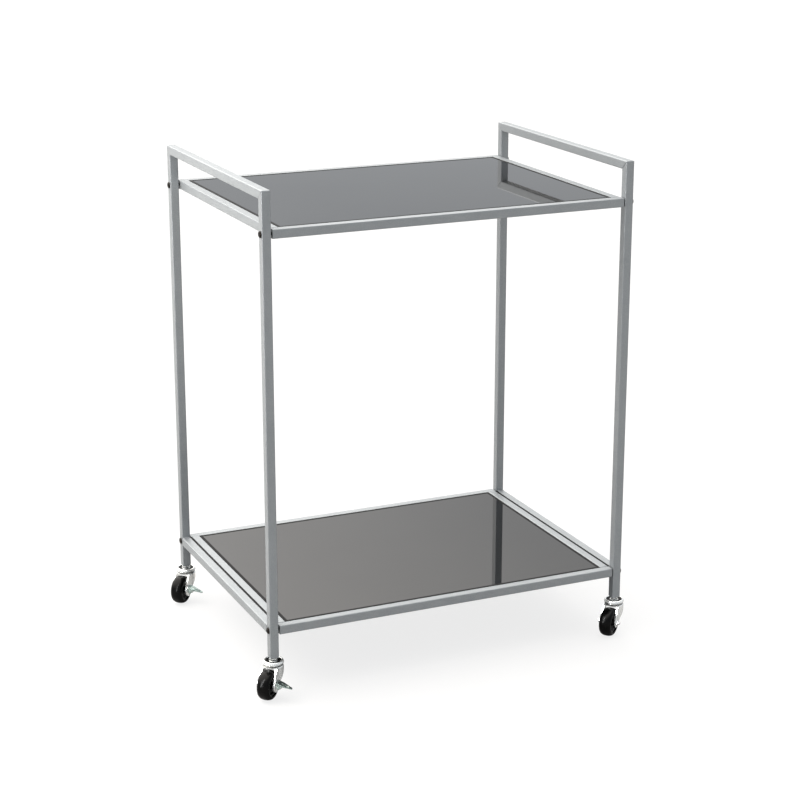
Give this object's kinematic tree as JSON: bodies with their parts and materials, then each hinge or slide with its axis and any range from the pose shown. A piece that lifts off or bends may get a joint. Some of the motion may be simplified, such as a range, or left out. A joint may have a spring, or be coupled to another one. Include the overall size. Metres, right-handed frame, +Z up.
{
  "type": "bar cart",
  "caption": "Bar cart on swivel casters, with push handles on its square-tube end frames and open shelves of black glass set in tube frames.",
  "frame": {"origin": "on the floor, under the middle of the cart's whole footprint, casters and brake levers included", "axes": "+Z up, X along the shelves from the left end frame to the right one, -Y the long side seen as the front"},
  "size_m": [0.692, 0.5155, 0.834],
  "materials": {
    "frame_paint": "silver-grey metallic powder coat, fine satin texture",
    "black_glass": "opaque black, polished",
    "screw_steel": "blackened, satin",
    "caster_zinc": "bright zinc plate",
    "brake_zinc": "stamped zinc plate, slightly yellow-green",
    "hub_plastic": "moulded black, satin",
    "insert_plastic": "moulded black, matte",
    "tyre_rubber": "smooth black tread, semi-gloss"
  },
  "bodies": {
    "root": {"front_left_post": "frame_paint", "back_left_post": "frame_paint", "left_handle_bar": "frame_paint", "left_cross_rail": "frame_paint", "front_right_post": "frame_paint", "back_right_post": "frame_paint", "right_handle_bar": "frame_paint", "right_cross_rail": "frame_paint", "upper_shelf_front_rail": "frame_paint", "upper_shelf_back_rail": "frame_paint", "upper_shelf_left_rail": "frame_paint", "upper_shelf_right_rail": "frame_paint", "upper_glass_panel": "black_glass", "upper_glass_ledge_front": "frame_paint", "upper_glass_ledge_back": "frame_paint", "lower_shelf_front_rail": "frame_paint", "lower_shelf_back_rail": "frame_paint", "lower_shelf_left_rail": "frame_paint", "lower_shelf_right_rail": "frame_paint", "lower_glass_panel": "black_glass", "lower_glass_ledge_front": "frame_paint", "lower_glass_ledge_back": "frame_paint", "front_left_upper_screw": "screw_steel", "front_left_lower_screw": "screw_steel", "front_left_stem_insert": "insert_plastic", "front_left_caster_stem": "caster_zinc", "front_left_swivel_cap": "caster_zinc", "front_right_upper_screw": "screw_steel", "front_right_lower_screw": "screw_steel", "front_right_stem_insert": "insert_plastic", "front_right_caster_stem": "caster_zinc", "front_right_swivel_cap": "caster_zinc", "back_left_upper_screw": "screw_steel", "back_left_lower_screw": "screw_steel", "back_left_stem_insert": "insert_plastic", "back_left_caster_stem": "caster_zinc", "back_left_swivel_cap": "caster_zinc", "back_right_upper_screw": "screw_steel", "back_right_lower_screw": "screw_steel", "back_right_stem_insert": "insert_plastic", "back_right_caster_stem": "caster_zinc", "back_right_swivel_cap": "caster_zinc"},
    "front_left_swivel": {"front_left_caster_fork": "caster_zinc", "front_left_axle_bolt": "caster_zinc"},
    "front_left_wheel": {"front_left_wheel_hub": "hub_plastic", "front_left_tyre": "tyre_rubber"},
    "front_left_brake": {"front_left_brake_lever": "brake_zinc"},
    "front_right_swivel": {"front_right_caster_fork": "caster_zinc", "front_right_axle_bolt": "caster_zinc"},
    "front_right_wheel": {"front_right_wheel_hub": "hub_plastic", "front_right_tyre": "tyre_rubber"},
    "back_left_swivel": {"back_left_caster_fork": "caster_zinc", "back_left_axle_bolt": "caster_zinc"},
    "back_left_wheel": {"back_left_wheel_hub": "hub_plastic", "back_left_tyre": "tyre_rubber"},
    "back_left_brake": {"back_left_brake_lever": "brake_zinc"},
    "back_right_swivel": {"back_right_caster_fork": "caster_zinc", "back_right_axle_bolt": "caster_zinc"},
    "back_right_wheel": {"back_right_wheel_hub": "hub_plastic", "back_right_tyre": "tyre_rubber"}
  },
  "joints": [
    {"name": "front_left_swivel_turn", "type": "hinge", "parent": "root", "child": "front_left_swivel", "pos_m": [-0.30815, -0.21045, 0.058], "axis": [0, 0, 1], "continuous": true},
    {"name": "front_left_wheel_spin", "type": "hinge", "parent": "front_left_swivel", "child": "front_left_wheel", "pos_m": [-0.32384, -0.22587, 0.025], "axis": [0.7009, -0.7133, 0], "continuous": true},
    {"name": "front_left_brake_press", "type": "hinge", "parent": "front_left_swivel", "child": "front_left_brake", "pos_m": [-0.30947, -0.24049, 0.025], "axis": [0.7133, 0.7009, 0], "range_deg": [0, 25]},
    {"name": "front_right_swivel_turn", "type": "hinge", "parent": "root", "child": "front_right_swivel", "pos_m": [0.32885, -0.21045, 0.058], "axis": [0, 0, 1], "continuous": true},
    {"name": "front_right_wheel_spin", "type": "hinge", "parent": "front_right_swivel", "child": "front_right_wheel", "pos_m": [0.31175, -0.22429, 0.025], "axis": [0.6293, -0.7771, 0], "continuous": true},
    {"name": "back_left_swivel_turn", "type": "hinge", "parent": "root", "child": "back_left_swivel", "pos_m": [-0.30815, 0.24055, 0.058], "axis": [0, 0, 1], "continuous": true},
    {"name": "back_left_wheel_spin", "type": "hinge", "parent": "back_left_swivel", "child": "back_left_wheel", "pos_m": [-0.32357, 0.22486, 0.025], "axis": [0.7133, -0.7009, 0], "continuous": true},
    {"name": "back_left_brake_press", "type": "hinge", "parent": "back_left_swivel", "child": "back_left_brake", "pos_m": [-0.30895, 0.21049, 0.025], "axis": [0.7009, 0.7133, 0], "range_deg": [0, 25]},
    {"name": "back_right_swivel_turn", "type": "hinge", "parent": "root", "child": "back_right_swivel", "pos_m": [0.32885, 0.24055, 0.058], "axis": [0, 0, 1], "continuous": true},
    {"name": "back_right_wheel_spin", "type": "hinge", "parent": "back_right_swivel", "child": "back_right_wheel", "pos_m": [0.3125, 0.22583, 0.025], "axis": [0.6691, -0.7431, 0], "continuous": true}
  ]
}
